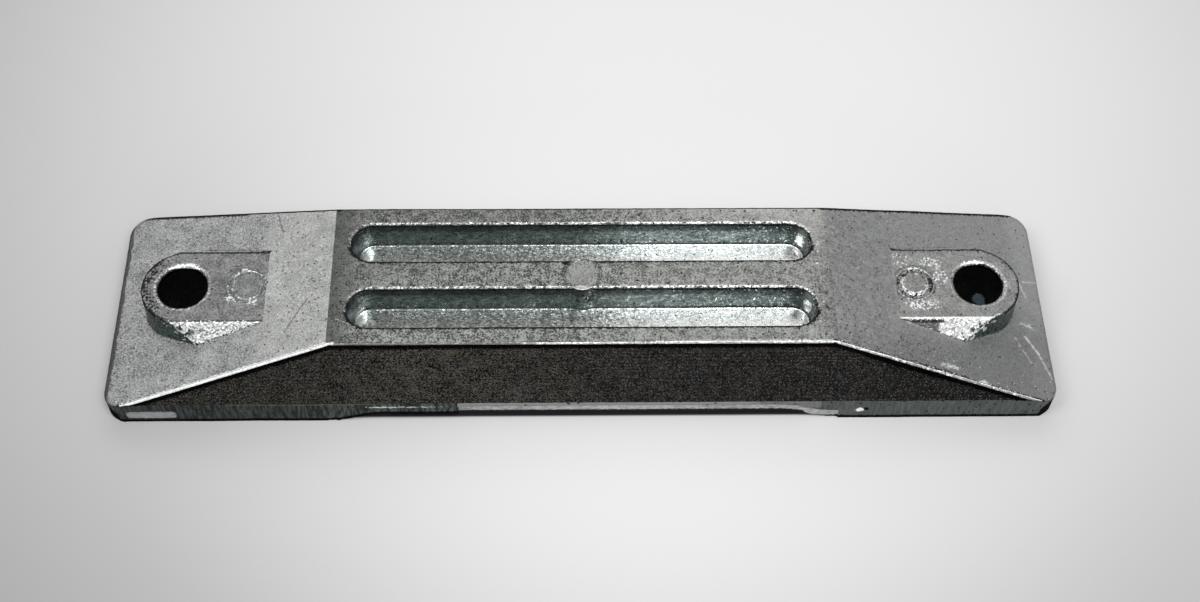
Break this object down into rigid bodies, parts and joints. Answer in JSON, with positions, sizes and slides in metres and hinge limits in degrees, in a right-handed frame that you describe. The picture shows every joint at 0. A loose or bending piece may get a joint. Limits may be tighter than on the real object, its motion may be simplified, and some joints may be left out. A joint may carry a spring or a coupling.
{
  "type": "sacrificial anode",
  "caption": "Cast zinc bar anode: raised slotted plateau, ramps down to two bolt bosses, upright foot band, flat end seats and a relieved underside.",
  "frame": {"origin": "centre of the casting's outline, on the plane of its two seats", "axes": "+X along the bar, +Y across it, away from the gate scar, +Z from the seats to the plateau"},
  "size_m": [0.165, 0.0398, 0.016],
  "materials": {
    "cast_zinc": "as-cast zinc, dull grey with rough skin and bright rubbed edges"
  },
  "bodies": {
    "root": {"anode_casting": "cast_zinc"}
  },
  "joints": []
}
